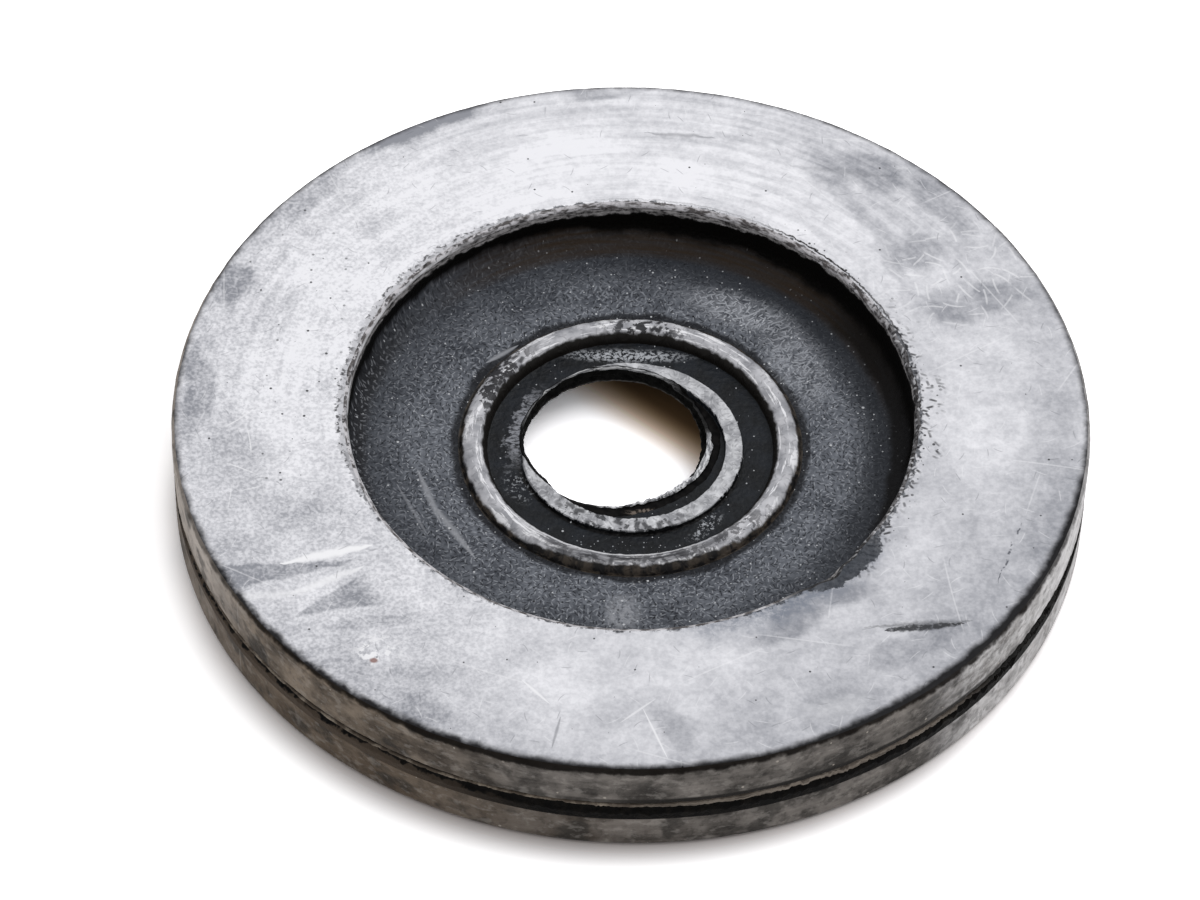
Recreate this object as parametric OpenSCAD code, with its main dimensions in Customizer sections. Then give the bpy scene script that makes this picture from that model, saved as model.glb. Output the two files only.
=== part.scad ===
// Round moulded rubber grommet, worn, with a thin web across its middle.
// A heavy flat ring carries the web about half-way up its thickness.
// The web is ringed by a half-round bead and a low collar, and a hole has
// been cut through it by hand, a little off the centre. The mould's parting
// line runs round the outer wall as a shallow channel with ragged flash in it.
// The origin is on the ring's axis at the underside, and +Z is up through the hole.

/* [Ring] */
// Outside diameter of the ring
ring_d = 60; // [54:0.5:80]
// Thickness of the ring from underside to top face
ring_t = 7.6; // [7:0.1:10]
// Rounding of the ring's two outer corners
corner_r = 0.4; // [0.2:0.05:0.8]

/* [Wells] */
// Diameter of the round well in the top face
well_d = 37; // [34:0.2:44]
// Depth of the top well, down to the flat part of the web
well_depth = 3.4; // [3:0.1:4]
// Fillet where the top well's wall runs out into the web
well_fillet = 1.6; // [0.8:0.1:2]
// Rounding of the worn lip round the top well
lip_r = 0.3; // [0.15:0.05:0.6]
// Diameter of the matching well in the underside
under_d = 37; // [34:0.2:44]
// Fillet inside the underside well
under_fillet = 1; // [0.5:0.1:1.5]

/* [Web] */
// Thickness of the web between the two wells
web_t = 1.5; // [1.4:0.05:1.9]
// How far the middle of the web lies below its flat outer part
dish_drop = 0.6; // [0.4:0.05:0.7]

/* [Bead] */
// Diameter of the bead's crown
bead_d = 20.7; // [19.6:0.1:23]
// Width of the half-round bead
bead_w = 1.9; // [1.5:0.1:2.2]
// Height of the bead's crown above the web
bead_rise = 0.4; // [0.2:0.05:0.6]
// Width of the shallow moat outside the bead
moat_w = 1.1; // [0.7:0.1:1.5]
// Depth of that moat
moat_depth = 0.22; // [0.1:0.02:0.3]

/* [Collar] */
// Outside diameter of the flat-topped collar round the hole
collar_d = 14.8; // [14.2:0.1:16]
// Width of the collar
collar_w = 1.15; // [0.8:0.05:1.4]
// Height of the collar above the dished middle
collar_rise = 0.35; // [0.2:0.05:0.5]
// Depth of the ledge inside the collar, below the dished middle
ledge_drop = 0.1; // [0.05:0.05:0.2]

/* [Hole] */
// Diameter of the hand-cut hole
hole_d = 12; // [9:0.1:12.2]
// How far the hole was cut to the left of the axis
hole_left = 0.95; // [0:0.05:1.1]
// How far the hole was cut behind the axis
hole_back = 0.85; // [0:0.05:1]
// Extra radius of the knife's second, shallower pass
second_cut_extra = 0.1; // [0.05:0.05:0.3]
// How far the second pass was shifted towards the right
second_cut_shift = 0.4; // [0.2:0.05:0.6]
// How deep the second pass scored the ledge
second_cut_depth = 0.15; // [0.05:0.05:0.15]

/* [Parting line] */
// Height of the channel that the parting line lies in
channel_h = 1.2; // [0.8:0.1:1.6]
// Depth of that channel
channel_depth = 0.4; // [0.2:0.05:0.6]
// Thickness of the flash fin
flash_t = 0.22; // [0.15:0.01:0.3]
// Furthest that a tooth of flash stands proud of the ring
flash_proud = 0.15; // [0.05:0.05:0.3]
// How far the flash is torn back between its longest teeth
flash_tear = 0.3; // [0.1:0.05:0.35]
// Number of corners round the torn edge of the flash
flash_steps = 240; // [120:24:360]

/* [Wear] */
// Radius of the largest bite worn out of the top well's lip
bite_r = 0.8; // [0.4:0.1:1.2]

/* [Hidden] */
// Fineness of the turned faces
face_fn = 180;
arc_fn = 48;
// Overlap that keeps joined and cut shapes from sharing a face
lap = 0.1;
ring_r = ring_d / 2;
well_r = well_d / 2;
under_r = under_d / 2;
web_top = ring_t - well_depth;
web_low = web_top - web_t;
dish_top = web_top - dish_drop;
ledge_top = dish_top - ledge_drop;
bead_crown_r = bead_d / 2;
bead_r = bead_w / 2;
bead_centre_z = web_top + bead_rise - bead_r;
// The moat is an arc that dips from the web into the bead's flank
moat_mid_r = bead_crown_r + bead_r;
moat_arc_r = (moat_w * moat_w + moat_depth * moat_depth) / (2 * moat_depth);
collar_out_r = collar_d / 2;
collar_in_r = collar_out_r - collar_w;
hole_r = hole_d / 2;
hole_centre = [-hole_left, hole_back];
second_cut_centre = [second_cut_shift - hole_left, hole_back];
channel_z = ring_t / 2;
// The channel's section is an arc as wide as the channel and as deep as it is cut
channel_arc_r = (channel_h * channel_h / 4 + channel_depth * channel_depth) / (2 * channel_depth);
channel_arc_centre_r = ring_r - channel_depth + channel_arc_r;
// Wear on the lip: angle round the ring, and size as a share of the largest bite
bites = [[-47, 1], [-41, 0.55], [-3, 0.6], [8, 0.8], [17, 0.5], [66, 0.6]];
// Torn flash: long waves of tearing with short random teeth on top
flash_seed = 41;
flash_teeth = rands(0, 1, flash_steps, flash_seed);
function tear_wave(a) = 0.5 + 0.3 * sin(3 * a + 20) + 0.2 * sin(7 * a + 75);
function flash_edge_r(i, a) = ring_r + flash_proud - flash_tear * (0.65 * tear_wave(a) + 0.35 * flash_teeth[i]);

// Section pieces are drawn with X as the radius and Y as the height
module band(r_in, r_out, z_low, z_high) {
    translate([r_in, z_low]) square([r_out - r_in, z_high - z_low]);
}

// What is taken off to round one corner of the section, at radius r and height z.
// The solid lies on the side of the corner that toward_r and toward_z point to.
module corner_waste(r, z, round_r, toward_r, toward_z) {
    low_r = toward_r > 0 ? -lap : -round_r;
    low_z = toward_z > 0 ? -lap : -round_r;
    translate([r, z]) difference() {
        translate([low_r, low_z]) square(round_r + lap);
        translate([toward_r * round_r, toward_z * round_r]) circle(r = round_r, $fn = arc_fn);
    }
}

// A round well, open at one face, with a fillet where its wall meets its floor
module well_section(r, floor_z, open_z, fillet_r) {
    up = open_z > floor_z ? 1 : -1;
    fillet_z = floor_z + up * fillet_r;
    mouth_z = open_z + up * lap;
    band(0, r - fillet_r, min(floor_z, mouth_z), max(floor_z, mouth_z));
    band(0, r, min(fillet_z, mouth_z), max(fillet_z, mouth_z));
    translate([r - fillet_r, fillet_z]) circle(r = fillet_r, $fn = arc_fn);
}

// Half-round bead that stands on the web
module bead_section() {
    intersection() {
        translate([bead_crown_r, bead_centre_z]) circle(r = bead_r, $fn = arc_fn);
        band(bead_crown_r - bead_w, bead_crown_r + bead_w, dish_top - lap, web_top + bead_rise + lap);
    }
}

// The ring and web in section, before the hole is cut
module moulded_section() {
    difference() {
        band(0, ring_r, 0, ring_t);
        well_section(well_r, web_top, ring_t, well_fillet);
        well_section(under_r, web_low, 0, under_fillet);
        corner_waste(ring_r, ring_t, corner_r, -1, -1);
        corner_waste(ring_r, 0, corner_r, -1, 1);
        corner_waste(well_r, ring_t, lip_r, 1, -1);
        corner_waste(under_r, 0, lip_r, 1, 1);
        band(0, bead_crown_r, dish_top, web_top + lap);
        band(0, collar_in_r, ledge_top, dish_top + lap);
        translate([moat_mid_r, web_top - moat_depth + moat_arc_r]) circle(r = moat_arc_r, $fn = arc_fn * 2);
        translate([channel_arc_centre_r, channel_z]) circle(r = channel_arc_r, $fn = arc_fn);
    }
    bead_section();
    band(collar_in_r, collar_out_r, dish_top - lap, dish_top + collar_rise);
}

// Thin fin squeezed out along the parting line and torn off unevenly
module flash_fin() {
    edge = [for (i = [0 : flash_steps - 1]) let (a = 360 * i / flash_steps)
        flash_edge_r(i, a) * [cos(a), sin(a)]];
    translate([0, 0, channel_z - flash_t / 2]) linear_extrude(flash_t) difference() {
        polygon(edge);
        circle(r = ring_r - channel_depth - lap, $fn = face_fn);
    }
}

// The hand-cut hole: one cut right through, and a second pass that only scored the ledge
module cut_hole() {
    translate([hole_centre[0], hole_centre[1], web_low - lap])
        cylinder(r = hole_r, h = ring_t, $fn = face_fn);
    translate([second_cut_centre[0], second_cut_centre[1], ledge_top - second_cut_depth])
        cylinder(r = hole_r + second_cut_extra, h = ring_t, $fn = face_fn);
}

// Bites worn out of the lip of the top well
module lip_wear() {
    for (bite = bites) {
        wear_r = bite_r * bite[1];
        rotate([0, 0, bite[0]]) translate([well_r, 0, ring_t + wear_r / 2]) sphere(r = wear_r, $fn = arc_fn);
    }
}

module grommet() {
    color([0.72, 0.73, 0.76]) {
        difference() {
            union() {
                rotate_extrude($fn = face_fn) moulded_section();
                flash_fin();
            }
            cut_hole();
            lip_wear();
        }
    }
}

grommet();
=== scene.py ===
import math

import bpy
import numpy as np
from mathutils import Matrix, Vector, noise


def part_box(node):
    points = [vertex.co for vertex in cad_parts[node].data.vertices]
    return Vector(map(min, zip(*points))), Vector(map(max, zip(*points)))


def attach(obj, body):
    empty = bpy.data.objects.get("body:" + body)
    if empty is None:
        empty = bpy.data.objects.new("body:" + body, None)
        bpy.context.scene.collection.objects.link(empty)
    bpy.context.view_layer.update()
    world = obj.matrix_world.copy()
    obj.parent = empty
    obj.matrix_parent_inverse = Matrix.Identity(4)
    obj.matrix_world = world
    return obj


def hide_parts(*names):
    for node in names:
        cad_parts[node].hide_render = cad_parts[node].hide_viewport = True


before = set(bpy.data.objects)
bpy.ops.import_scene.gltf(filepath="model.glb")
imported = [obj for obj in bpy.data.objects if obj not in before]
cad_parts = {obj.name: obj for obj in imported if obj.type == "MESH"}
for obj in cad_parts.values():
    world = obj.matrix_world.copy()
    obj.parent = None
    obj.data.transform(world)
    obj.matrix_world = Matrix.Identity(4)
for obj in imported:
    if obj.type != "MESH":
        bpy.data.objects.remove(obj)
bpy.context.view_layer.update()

# The view.
# The photograph looks down on the grommet from the front, at a long focal length.
# Lengths are in millimetres, from the ring's axis and its underside, unless a comment says metres.

MM = 0.001
PHOTO_WIDTH = 1200
SENSOR = 36.0
node_low, node_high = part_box("grommet")
ring_t = (node_high[2] - node_low[2]) / MM
camera_height_angle = math.radians(48.58)
camera_roll = math.radians(1.15)
camera_distance = 353.2
camera_focal_px = 5447
camera_aim = Vector((-1.99, -3.66, ring_t))

backward = Vector((0, -math.cos(camera_height_angle), math.sin(camera_height_angle)))
level_right = Vector((1, 0, 0))
level_up = backward.cross(level_right)
camera_right = math.cos(camera_roll) * level_right + math.sin(camera_roll) * level_up
camera_up = math.cos(camera_roll) * level_up - math.sin(camera_roll) * level_right
camera_data = bpy.data.cameras.new("camera")
camera_data.sensor_width = SENSOR
camera_data.lens = camera_focal_px * SENSOR / PHOTO_WIDTH
# the camera sees what lies from 0.01 to 10 metres away
camera_data.clip_start = 0.01
camera_data.clip_end = 10
camera = bpy.data.objects.new("camera", camera_data)
turn_to_view = Matrix((camera_right, camera_up, backward)).transposed().to_4x4()
camera.matrix_world = Matrix.Translation((camera_aim + camera_distance * backward) * MM) @ turn_to_view
bpy.context.collection.objects.link(camera)
bpy.context.scene.camera = camera

# The bench and the light.
# A plain white sheet under soft light: a large window high at the back right, and even white light
# from all round. The sizes of the sheet and of the window, and its distance, are in metres.

floor_half = 2.0
floor_mesh = bpy.data.meshes.new("bench_sheet")
floor_corners = [(-floor_half, -floor_half, 0), (floor_half, -floor_half, 0), (floor_half, floor_half, 0),
                 (-floor_half, floor_half, 0)]
floor_mesh.from_pydata(floor_corners, [], [(0, 1, 2, 3)])
floor = bpy.data.objects.new("bench_sheet", floor_mesh)
bpy.context.collection.objects.link(floor)


def tone(red, green, blue):
    """A colour given as it looks on screen, in the linear values that shaders take."""
    def linear(level):
        share = level / 255
        return share / 12.92 if share <= 0.04045 else ((share + 0.055) / 1.055) ** 2.4
    return (linear(red), linear(green), linear(blue), 1.0)


class Finish:
    """Wires up one material, which each section calls f. Positions are in millimetres in the part's
    frame. A colour of three numbers is given as it looks on screen, from 0 to 255. Masks go from 0 to 1,
    and a seed picks one random pattern out of many."""

    def __init__(self, name):
        self.material = bpy.data.materials.new(name)
        self.material.use_nodes = True
        self.tree = self.material.node_tree
        self.tree.nodes.clear()
        self.place = self.add("ShaderNodeTexCoord").outputs["Object"]
        self.spot = self.vector("SCALE", self.place, scale=1 / MM)
        parts = self.add("ShaderNodeSeparateXYZ", {0: self.spot})
        self.x, self.y, self.z = parts.outputs
        self.flat = self.vector("MULTIPLY", self.spot, (1, 1, 0))
        self.r = self.vector("LENGTH", self.flat)
        self.way = self.vector("NORMALIZE", self.flat)

    def add(self, kind, inputs=None, **settings):
        node = self.tree.nodes.new(kind)
        for key, value in settings.items():
            setattr(node, key, value)
        for key, value in (inputs or {}).items():
            if isinstance(value, bpy.types.NodeSocket):
                self.tree.links.new(value, node.inputs[key])
            else:
                node.inputs[key].default_value = value
        return node

    def vector(self, operation, a, b=None, scale=None):
        inputs = {0: a}
        if b is not None:
            inputs[1] = b
        if scale is not None:
            inputs["Scale"] = scale
        node = self.add("ShaderNodeVectorMath", inputs, operation=operation)
        measured = operation in ("LENGTH", "DISTANCE", "DOT_PRODUCT")
        return node.outputs["Value" if measured else "Vector"]

    def maths(self, operation, a, b=None):
        inputs = {0: a} if b is None else {0: a, 1: b}
        return self.add("ShaderNodeMath", inputs, operation=operation).outputs[0]

    def total(self, *terms):
        result = terms[0]
        for term in terms[1:]:
            result = self.maths("ADD", result, term)
        return result

    def times(self, a, b):
        return self.maths("MULTIPLY", a, b)

    def most(self, *masks):
        result = masks[0]
        for mask in masks[1:]:
            result = self.maths("MAXIMUM", result, mask)
        return result

    def flip(self, a):
        return self.maths("SUBTRACT", 1.0, a)

    def ramp(self, value, start, end, low=0.0, high=1.0):
        """Smooth change from low to high as value goes from start to end."""
        node = self.add("ShaderNodeMapRange", interpolation_type="SMOOTHSTEP")
        self.tree.links.new(value, node.inputs[0])
        if start > end:
            start, end, low, high = end, start, high, low
        for key, number in zip((1, 2, 3, 4), (start, end, low, high)):
            node.inputs[key].default_value = number
        return node.outputs[0]

    def between(self, value, start, end, soft):
        """Mask of the band from start to end, with edges as soft as given."""
        rise = self.ramp(value, start - soft / 2, start + soft / 2)
        fall = self.ramp(value, end + soft / 2, end - soft / 2)
        return self.times(rise, fall)

    def moved(self, shift, stretch=(1, 1, 1), start=None):
        """The place, or the given start in millimetres, stretched and then shifted in millimetres."""
        scale = tuple(number / MM for number in stretch) if start is None else stretch
        inputs = {"Vector": start or self.place, "Location": shift, "Scale": scale}
        return self.add("ShaderNodeMapping", inputs).outputs[0]

    def cloud(self, size, seed, detail=3.0, coarse=0.55, low=0.3, high=0.7, levels=(0.0, 1.0),
              stretch=(1, 1, 1)):
        """Cloudy pattern with patches about size across, spread over the two levels."""
        shift = (seed * 7.31 * stretch[0], seed * 3.77 * stretch[1], seed * 5.13 * stretch[2])
        moved = self.moved(shift, stretch)
        inputs = {"Vector": moved, "Scale": 1 / size, "Detail": detail, "Roughness": coarse}
        noise_level = self.add("ShaderNodeTexNoise", inputs).outputs[0]
        return self.ramp(noise_level, low, high, *levels)

    def turned_cloud(self, along, across, seed, at_r, levels=(0.0, 1.0), low=0.3, high=0.7):
        """Cloudy pattern drawn out round the part: patches are along by across at radius at_r."""
        round_way = self.vector("SCALE", self.way, scale=at_r / along)
        bits = self.add("ShaderNodeSeparateXYZ", {0: round_way}).outputs
        outward = self.times(self.total(self.r, self.z), 1 / across)
        where = self.add("ShaderNodeCombineXYZ", {0: bits[0], 1: bits[1], 2: outward}).outputs[0]
        moved = self.moved((seed * 3.1, seed * 1.7, seed * 2.3), start=where)
        inputs = {"Vector": moved, "Scale": 1.0, "Detail": 3.0, "Roughness": 0.6}
        return self.ramp(self.add("ShaderNodeTexNoise", inputs).outputs[0], low, high, *levels)

    def unrolled(self, at_r):
        """Position on a wall of radius at_r laid flat: millimetres round it, and height."""
        angle = self.maths("ARCTAN2", self.y, self.x)
        return self.add("ShaderNodeCombineXYZ", {0: self.times(angle, at_r), 1: self.z}).outputs[0]

    def loose(self, amount, grain, seed=0):
        """The plan position, shaken by up to amount, so that marks get ragged edges."""
        inputs = {"Vector": self.moved((seed * 5.3, seed * 2.1, 0.0)), "Scale": 1 / grain, "Detail": 2.0}
        shake = self.add("ShaderNodeTexNoise", inputs).outputs["Color"]
        centred = self.vector("SUBTRACT", shake, (0.5, 0.5, 0.5))
        shaken = self.vector("ADD", self.flat, self.vector("SCALE", centred, scale=2 * amount))
        return self.vector("MULTIPLY", shaken, (1, 1, 0))

    def specks(self, cell, size, share, seed, where=None):
        """Round dots up to size across, about one to a cell, in that share of the cells."""
        moved = self.moved((seed * 4.7, seed * 9.1, 0.0), (1, 1, 0), where)
        node = self.add("ShaderNodeTexVoronoi", {"Vector": moved, "Scale": 1 / cell}, feature="F1",
                        voronoi_dimensions="2D")
        luck = self.add("ShaderNodeSeparateColor", {0: node.outputs["Color"]}).outputs
        reach = self.times(self.ramp(luck[0], 0.0, 1.0, 0.3, 1.0), size / cell / 2)
        edge = self.maths("DIVIDE", node.outputs["Distance"], reach)
        return self.times(self.ramp(edge, 1.15, 0.75), self.maths("LESS_THAN", luck[1], share))

    def scratches(self, cell, length, width, share, seed, bend=0.03, lean=0.0, spread=math.pi):
        """Fine scratches, bowed by up to bend, one to a cell in that share of the cells.
        They lie within spread of the angle lean."""
        moved = self.moved((seed * 11.3, seed * 5.9, 0.0), (1, 1, 0))
        node = self.add("ShaderNodeTexVoronoi", {"Vector": moved, "Scale": 1 / cell}, feature="F1",
                        voronoi_dimensions="2D")
        luck = self.add("ShaderNodeSeparateColor", {0: node.outputs["Color"]}).outputs
        middle = node.outputs["Position"]
        angle = self.total(self.times(luck[0], 2 * spread), lean - spread)
        turned = self.add("ShaderNodeVectorRotate", {"Vector": moved, "Center": middle, "Angle": angle},
                          rotation_type="Z_AXIS").outputs[0]
        inputs = {"Vector": turned, "Location": middle}
        away = self.add("ShaderNodeMapping", inputs, vector_type="TEXTURE").outputs[0]
        bits = self.add("ShaderNodeSeparateXYZ", {0: away}).outputs
        bow = self.times(self.times(bits[0], bits[0]), self.total(self.times(luck[2], 2 * bend), -bend))
        line = self.ramp(self.maths("ABSOLUTE", self.total(bits[1], bow)), width, width * 0.3)
        taper = self.ramp(self.maths("ABSOLUTE", bits[0]), length / 2, length * 0.2)
        return self.times(self.times(line, taper), self.maths("LESS_THAN", luck[1], share))

    def stroke(self, start, end, width, strength=1.0, soft=0.8, where=None):
        """One mark from start to end on the plan, widest in its middle."""
        run = (Vector(end) - Vector(start)).to_3d()
        away = self.vector("SUBTRACT", where or self.flat, (start[0], start[1], 0.0))
        along = self.vector("DOT_PRODUCT", away, tuple(run / run.length_squared))
        held = self.add("ShaderNodeClamp", {0: along})
        foot = self.vector("SCALE", tuple(run), scale=held.outputs[0])
        gap = self.vector("LENGTH", self.vector("SUBTRACT", away, foot))
        swell = self.times(self.times(held.outputs[0], self.flip(held.outputs[0])), 4.0 * width)
        edge = self.maths("DIVIDE", gap, self.total(swell, width * 0.12))
        return self.ramp(edge, 1.0 + soft / 2, 1.0 - soft, 0.0, strength)

    def patch(self, centre, size, lean=0.0, strength=1.0, soft=0.6, where=None):
        """Soft oval spot on the plan, size across, turned by lean degrees."""
        away = self.vector("SUBTRACT", where or self.flat, (centre[0], centre[1], 0.0))
        if lean == 0:
            far = self.vector("LENGTH", self.vector("MULTIPLY", away, (2 / size[0], 2 / size[1], 0.0)))
            return self.ramp(far, 1.0 + soft, 1.0 - soft, 0.0, strength)
        turn = math.radians(lean)
        long_way = (math.cos(turn) * 2 / size[0], math.sin(turn) * 2 / size[0], 0.0)
        short_way = (-math.sin(turn) * 2 / size[1], math.cos(turn) * 2 / size[1], 0.0)
        along = self.vector("DOT_PRODUCT", away, long_way)
        across = self.vector("DOT_PRODUCT", away, short_way)
        far = self.maths("SQRT", self.total(self.times(along, along), self.times(across, across)))
        return self.ramp(far, 1.0 + soft, 1.0 - soft, 0.0, strength)

    def sector(self, angle, half_width, soft, strength=1.0):
        """Mask of one stretch of the part's circle, about the angle given in degrees."""
        way = (math.cos(math.radians(angle)), math.sin(math.radians(angle)), 0.0)
        facing = self.vector("DOT_PRODUCT", self.way, way)
        inner = math.cos(math.radians(max(half_width - soft, 0)))
        outer = math.cos(math.radians(min(half_width + soft, 180)))
        return self.ramp(facing, outer, inner, 0.0, strength)

    def blend(self, base, top, share, **settings):
        """Colour that goes from base to top as share goes from 0 to 1."""
        colours = [tone(*colour) if isinstance(colour, tuple) and len(colour) == 3 else colour
                   for colour in (base, top)]
        inputs = {0: share, 6: colours[0], 7: colours[1]}
        return self.add("ShaderNodeMix", inputs, data_type="RGBA", **settings).outputs[2]

    def ground(self, base, top, share):
        """The finish's own colour, before anything is painted on it."""
        self.colour = self.blend(base, top, share)

    def paint(self, top, mask, strength=None):
        """Lays one more colour over the finish where the mask is, at the given strength."""
        share = mask if strength is None else self.times(mask, strength)
        self.colour = self.blend(self.colour, top, share)

    def cure(self, rough, height=None, depth=0.03, gloss=0.2):
        """Joins the finish to its shader. height is the relief from 0 to 1, and depth its size."""
        shader = self.add("ShaderNodeBsdfPrincipled",
                          {"Base Color": self.colour, "Roughness": rough, "Specular IOR Level": gloss})
        if height is not None:
            relief = self.add("ShaderNodeBump", {"Height": height, "Distance": depth * MM, "Strength": 1.0})
            self.tree.links.new(relief.outputs[0], shader.inputs["Normal"])
        self.add("ShaderNodeOutputMaterial", {"Surface": shader.outputs[0]})
        return self.material


# What the camera sees of the sheet: painted shade at the ring's foot, and through the hole the web's
# painted shadow and painted light past it. The shadow's edge is a wide arc with a brown fringe of painted
# bounced light. These lengths are in millimetres.
paper_white = (0.88, 0.88, 0.88, 1)
foot_middle = (-0.24, -1.38, 0)
foot_shade_r, foot_open_r = 28.1, 31.1
foot_shade_colour = (0.54, 0.49, 0.475, 1)
open_colour = (2.03, 2.02, 2.04, 1)
through_hole_r = 15.0
shadow_middle = (62.88, 79.32, 0)
shadow_dark_r, shadow_open_r = 94.3, 98.8
shadow_colour = (0.16, 0.14, 0.12, 1)
lit_colour = (2.4, 2.38, 2.42, 1)
fringe_dark_r, fringe_open_r = 94.6, 98.4
shadow_fringe_tint = (0.9, 0.62, 0.36, 1)
no_tint = (1.0, 1.0, 1.0, 1)

f = Finish("white_sheet")
from_axis = f.vector("DISTANCE", f.spot, foot_middle)
from_shadow = f.vector("DISTANCE", f.spot, shadow_middle)
# painted shade round the ring's foot
round_ring = f.blend(foot_shade_colour, open_colour, f.ramp(from_axis, foot_shade_r, foot_open_r))
# through the hole: the web's painted shadow, and painted light past its edge
in_hole = f.blend(shadow_colour, lit_colour, f.ramp(from_shadow, shadow_dark_r, shadow_open_r))
# a brown fringe of painted bounced light along the shadow's edge
fringe = f.blend(shadow_fringe_tint, no_tint, f.ramp(from_shadow, fringe_dark_r, fringe_open_r))
in_hole = f.blend(in_hole, fringe, 1.0, blend_type="MULTIPLY")
seen_colour = f.blend(round_ring, in_hole, f.maths("LESS_THAN", from_axis, through_hole_r))
paper = f.add("ShaderNodeBsdfDiffuse", {"Color": paper_white})
seen_paper = f.add("ShaderNodeBsdfDiffuse", {"Color": seen_colour})
seen = f.add("ShaderNodeLightPath").outputs["Is Camera Ray"]
sheet = f.add("ShaderNodeMixShader", {0: seen, 1: paper.outputs[0], 2: seen_paper.outputs[0]})
f.add("ShaderNodeOutputMaterial", {"Surface": sheet.outputs[0]})
floor_mesh.materials.append(f.material)

room_strength = 0.68
backdrop_strength = 1.0
world = bpy.data.worlds.new("white_room")
bpy.context.scene.world = world
world.use_nodes = True
sky = world.node_tree
sky.nodes.clear()
sky_out = sky.nodes.new("ShaderNodeOutputWorld")
room = sky.nodes.new("ShaderNodeBackground")
room.inputs["Color"].default_value = (1.0, 1.0, 1.0, 1)
room.inputs["Strength"].default_value = room_strength
backdrop = sky.nodes.new("ShaderNodeBackground")
backdrop.inputs["Strength"].default_value = backdrop_strength
sky_ray = sky.nodes.new("ShaderNodeLightPath")
sky_mix = sky.nodes.new("ShaderNodeMixShader")
sky.links.new(sky_ray.outputs["Is Camera Ray"], sky_mix.inputs[0])
sky.links.new(room.outputs[0], sky_mix.inputs[1])
sky.links.new(backdrop.outputs[0], sky_mix.inputs[2])
sky.links.new(sky_mix.outputs[0], sky_out.inputs["Surface"])


def soft_window(name, towards, distance, width, watts):
    """A square area lamp that faces the part from the direction towards."""
    lamp = bpy.data.lights.new(name, "AREA")
    lamp.shape = "SQUARE"
    lamp.size = width
    lamp.energy = watts
    holder = bpy.data.objects.new(name, lamp)
    aim = Vector(towards).normalized()
    holder.location = aim * distance
    holder.rotation_euler = aim.to_track_quat("Z", "Y").to_euler()
    bpy.context.collection.objects.link(holder)


soft_window("back_window", towards=(0.55, 0.3, 1.0), distance=0.6, width=0.5, watts=1.35)

# The hand-cut hole.
# Cut through the web with a knife, off the centre, so that it bites into the collar at the left and back
# and leaves a ledge at the right and front. The cut is black, and a burr rubbed pale stands on its brow.

# The moulding is laid out as closed rings of points, from the foot of the hole, over the web and ring,
# and back along the underside. Each section adds the rings of its own stretch.
rings = []
ring_skins = []
materials = {}
FINE = 720


def lay(count, radius, height, skin):
    """One ring of count points. radius and height are numbers or functions of the angle.
    skin names the finish of the band from this ring to the next."""
    turn = np.arange(count) * 2 * math.pi / count
    r = radius(turn) if callable(radius) else np.full(count, float(radius))
    z = height(turn) if callable(height) else np.full(count, float(height))
    rings.append(np.stack([r * np.cos(turn), r * np.sin(turn), z], axis=1))
    ring_skins.append(skin)


def uneven(turn, at_r, grain, seed, layers=3):
    """Random ups and downs round a circle of radius at_r, about -1 to 1, with bumps grain long."""
    level = np.zeros(len(turn))
    for layer in range(layers):
        reach = at_r * (2 ** layer / grain)
        lift = seed * 13.7 + layer * 5.3
        bumps = [noise.noise(Vector((reach * math.cos(a), reach * math.sin(a), lift))) for a in turn]
        level += np.array(bumps) * 1.6 / 1.7 ** layer
    return level


def hump(turn, angle, half_width):
    """1 at the angle, falling to 0 over half_width, both in degrees."""
    off = (np.degrees(turn) - angle + 180) % 360 - 180
    return np.exp(-(off / half_width) ** 2)


def humps(turn, table):
    """Sum of humps, each given by its angle, its half-width in degrees and its height."""
    return sum(height * hump(turn, angle, half_width) for angle, half_width, height in table)


def smooth(share):
    """Share from 0 to 1 with a soft start and end."""
    held = np.clip(share, 0, 1)
    return held * held * (3 - 2 * held)


hole_r = 6.0
hole_x = -0.95
hole_y = 0.85
burr_height = 0.11
burr_least_width = 0.13
burr_edge = 0.06
groove_width = 0.86
groove_depth = 0.12
groove_edge = 0.08
# heights and radii of the web and of the collar that the cut goes through
under_web_z = 2.7
ledge_z = 3.5
dish_z = 3.6
collar_z = 3.95
collar_in_r = 6.25
collar_out_r = 7.4
collar_edge = 0.1
# how the knife strayed from a true circle: angle, half-width in degrees, and millimetres outwards
brow_strays = [(178, 24, 0.2), (128, 16, 0.12), (-70, 42, -0.4)]
brow_nicks = [(47, 2.2, 0.14), (139, 2, 0.1), (-84, 3, -0.1)]
foot_strays = [(18, 24, -0.3), (-18, 24, -0.36), (176, 30, 0.1), (-70, 42, -0.4)]
foot_nicks = [(-4, 2, 0.06), (60, 4, -0.07)]
burr_swells = [(-4, 30, 0.28), (-52, 24, 0.17)]


def off_centre_circle(turn, centre_x, centre_y, radius):
    """Distance from the axis to a circle that stands off the axis."""
    along = centre_x * np.cos(turn) + centre_y * np.sin(turn)
    across = centre_x ** 2 + centre_y ** 2 - along ** 2
    return along + np.sqrt(radius ** 2 - across)


def hole_brow_r(turn):
    """Radius of the hole's upper edge."""
    strayed = off_centre_circle(turn, hole_x, hole_y, hole_r) + humps(turn, brow_strays)
    return strayed + humps(turn, brow_nicks) + 0.045 * uneven(turn, hole_r, 0.9, 1, 4)


def hole_foot_r(turn):
    """Radius of the hole's lower edge, where the cut slants in at the right."""
    strayed = off_centre_circle(turn, hole_x, hole_y, hole_r) + humps(turn, foot_strays)
    return strayed + humps(turn, foot_nicks) + 0.05 * uneven(turn, hole_r, 0.6, 2, 4)


def burr_width(turn):
    """Width of the burr that stands along the hole's brow at the right and front."""
    waver = 1 + 0.12 * uneven(turn, hole_r, 0.8, 3)
    return (burr_least_width + humps(turn, burr_swells)) * waver


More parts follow.
